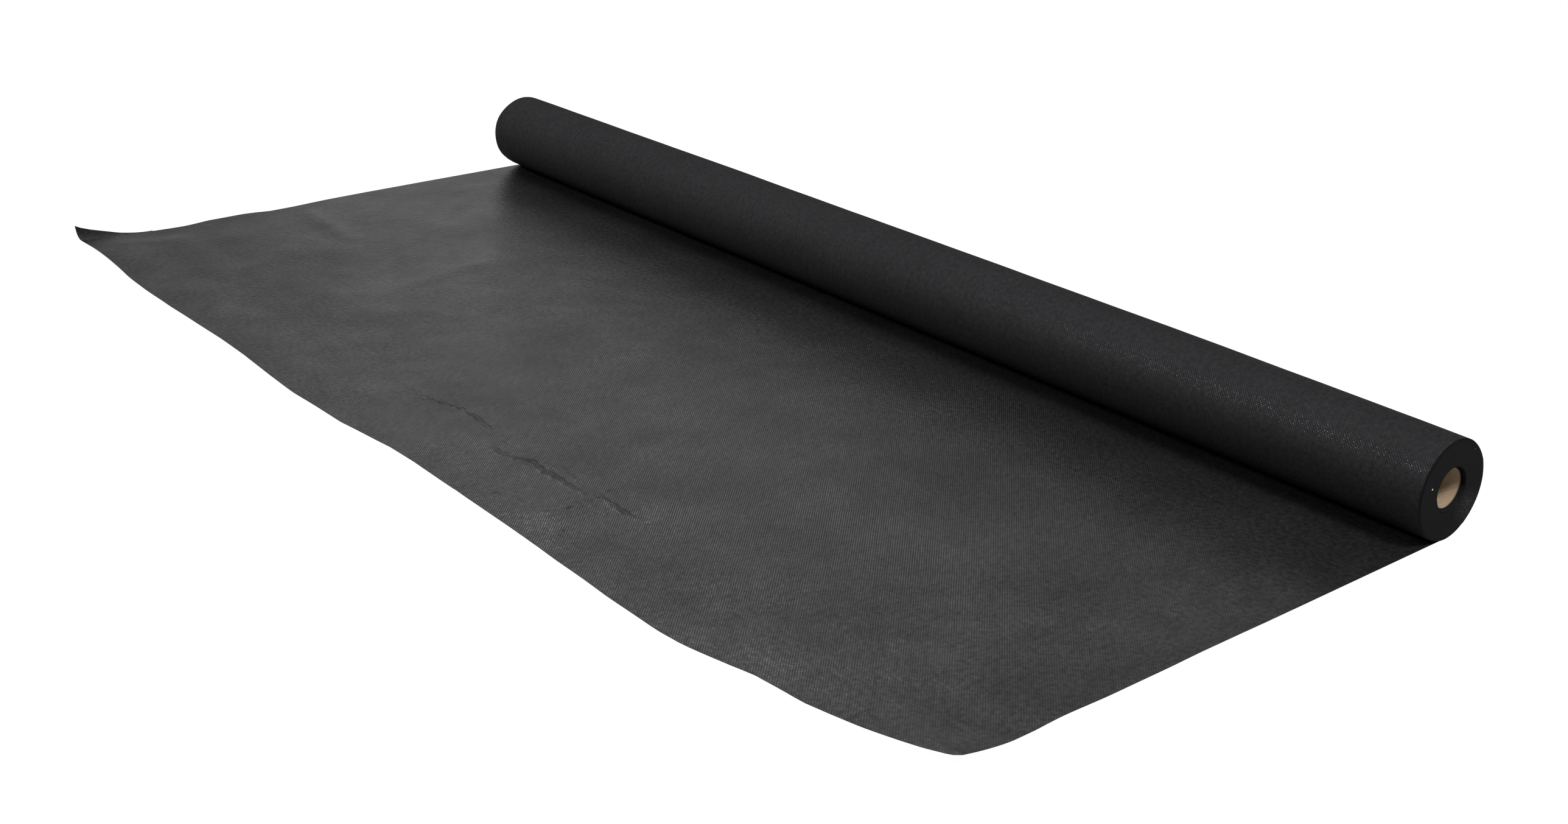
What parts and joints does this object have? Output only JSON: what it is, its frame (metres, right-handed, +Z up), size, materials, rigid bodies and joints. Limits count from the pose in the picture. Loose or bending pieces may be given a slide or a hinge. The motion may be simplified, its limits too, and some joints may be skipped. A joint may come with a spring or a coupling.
{
  "type": "roll of weed control fabric",
  "caption": "Roll of spunbonded weed control fabric on a card tube, with the loose end of the web laid out on the ground in front; the roll can be rolled out further along its web.",
  "frame": {"origin": "on the ground, under the middle of the tube's axis, on the flat underside of the web below the roll", "axes": "+Y along the roll, towards the end of the roll nearer the camera in the picture; +X along the laid web, from the roll to the web's cut end; +Z up"},
  "size_m": [0.7033, 1.5, 0.0974],
  "materials": {
    "laid_fabric": "matte spunbonded fabric, dark grey, point bonded in diagonal rows",
    "turned_fabric": "matte spunbonded fabric, dark grey",
    "wound_fabric": "spunbonded fabric, near black, with bright bond points",
    "card": "plain brown spiral-wound card",
    "tape": "thin double-sided tape"
  },
  "bodies": {
    "ground_sheet": {"laid_web": "laid_fabric"},
    "web_line": {"web_under_roll": "turned_fabric"},
    "roll": {"winding": "wound_fabric", "core_tube": "card", "start_tape": "tape"}
  },
  "joints": [
    {"name": "roll_out", "type": "slide", "parent": "ground_sheet", "child": "web_line", "axis": [-1, 0, 0], "range_m": [0, 0.6195]},
    {"name": "roll_turn", "type": "hinge", "parent": "web_line", "child": "roll", "pos_m": [0, 0, 0.0493], "axis": [0, -1, 0], "range_deg": [0, 720]}
  ],
  "couplings": [
    {"joint": "roll_turn", "follows": "roll_out", "rad_per_m": 20.284}
  ]
}
